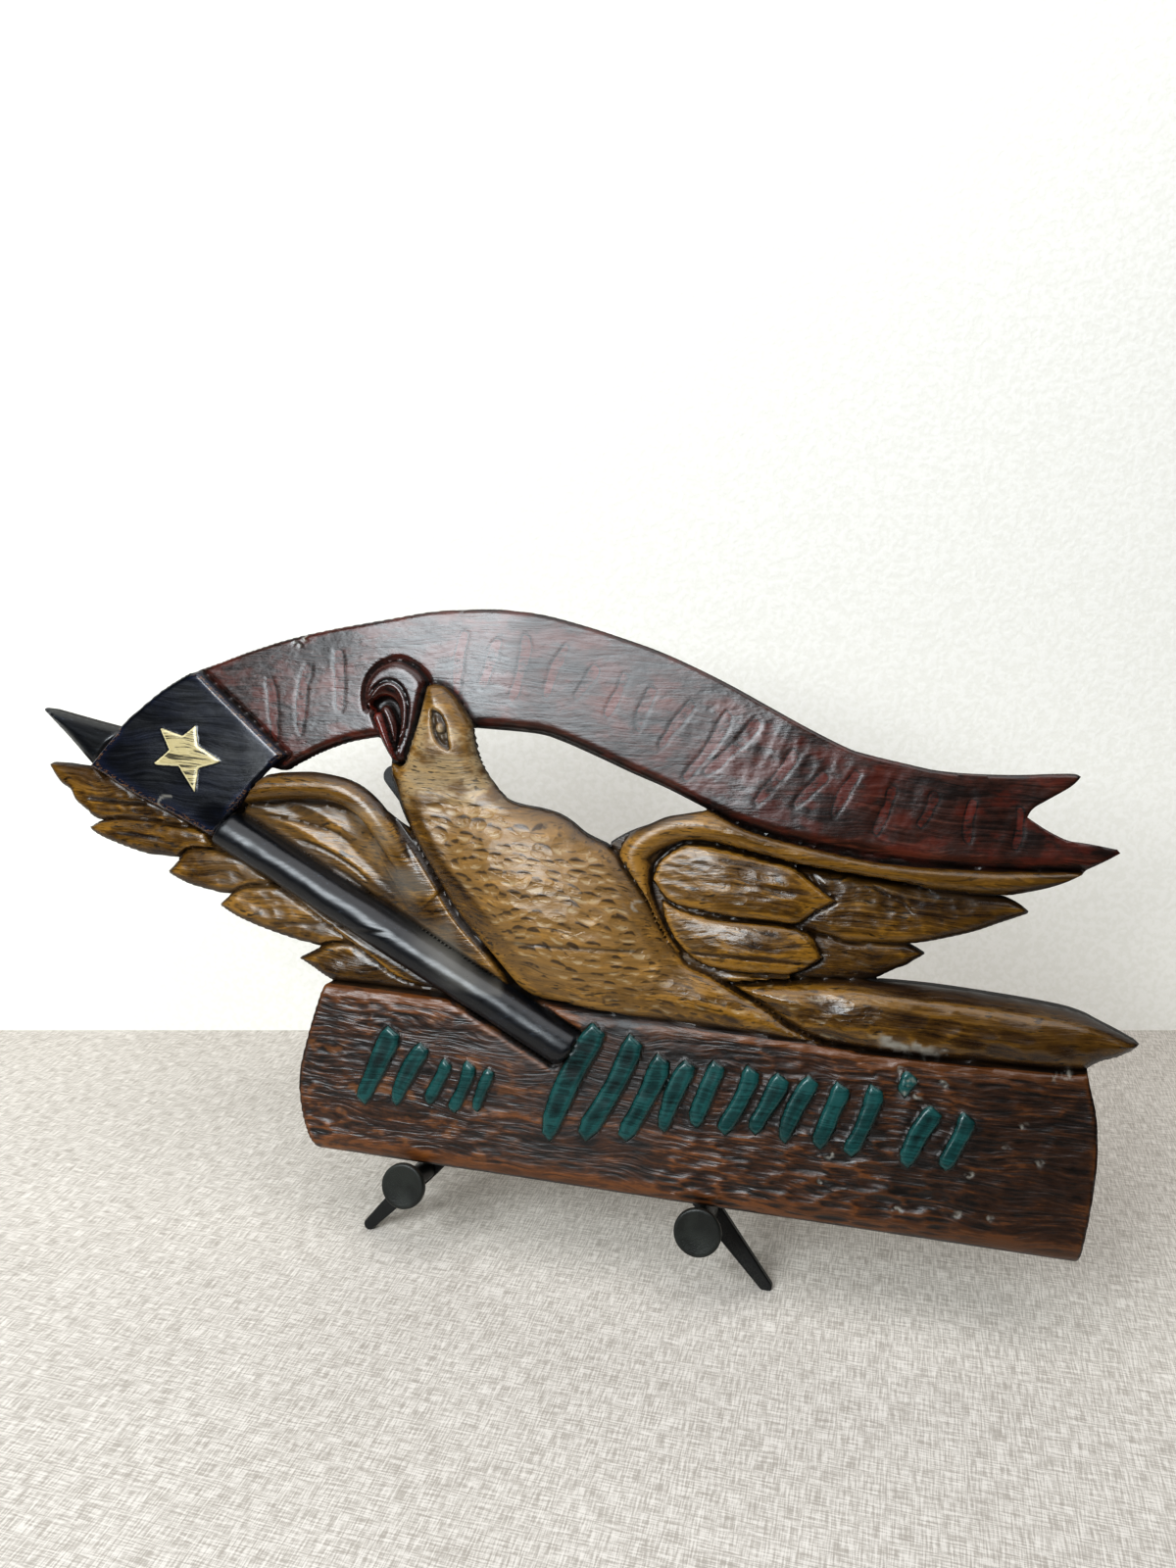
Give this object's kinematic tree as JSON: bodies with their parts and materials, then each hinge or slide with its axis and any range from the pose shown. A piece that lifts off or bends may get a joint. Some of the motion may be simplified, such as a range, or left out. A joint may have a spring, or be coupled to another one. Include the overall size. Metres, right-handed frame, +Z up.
{
  "type": "carved eagle plaque",
  "caption": "Carved wooden wall plaque of an eagle holding a striped banner and pole over a log, leaning on a folding display stand.",
  "frame": {"origin": "under the middle of the whole, at the level that the three feet stand on", "axes": "+X along the width, towards the tail; the carved face looks towards -Y and leans back; +Z up"},
  "size_m": [0.6354, 0.1716, 0.349],
  "materials": {
    "carved_wood": "carved, stained and painted, with a worn satin varnish",
    "stand_black": "satin black",
    "stand_disc": "charcoal, rubbed bright along the rim"
  },
  "bodies": {
    "root": {"carved_plaque": "carved_wood", "front_leg_left": "stand_black", "front_leg_right": "stand_black", "back_leg": "stand_black", "pivot_pin": "stand_black", "peg_left": "stand_disc", "peg_right": "stand_disc"}
  },
  "joints": []
}
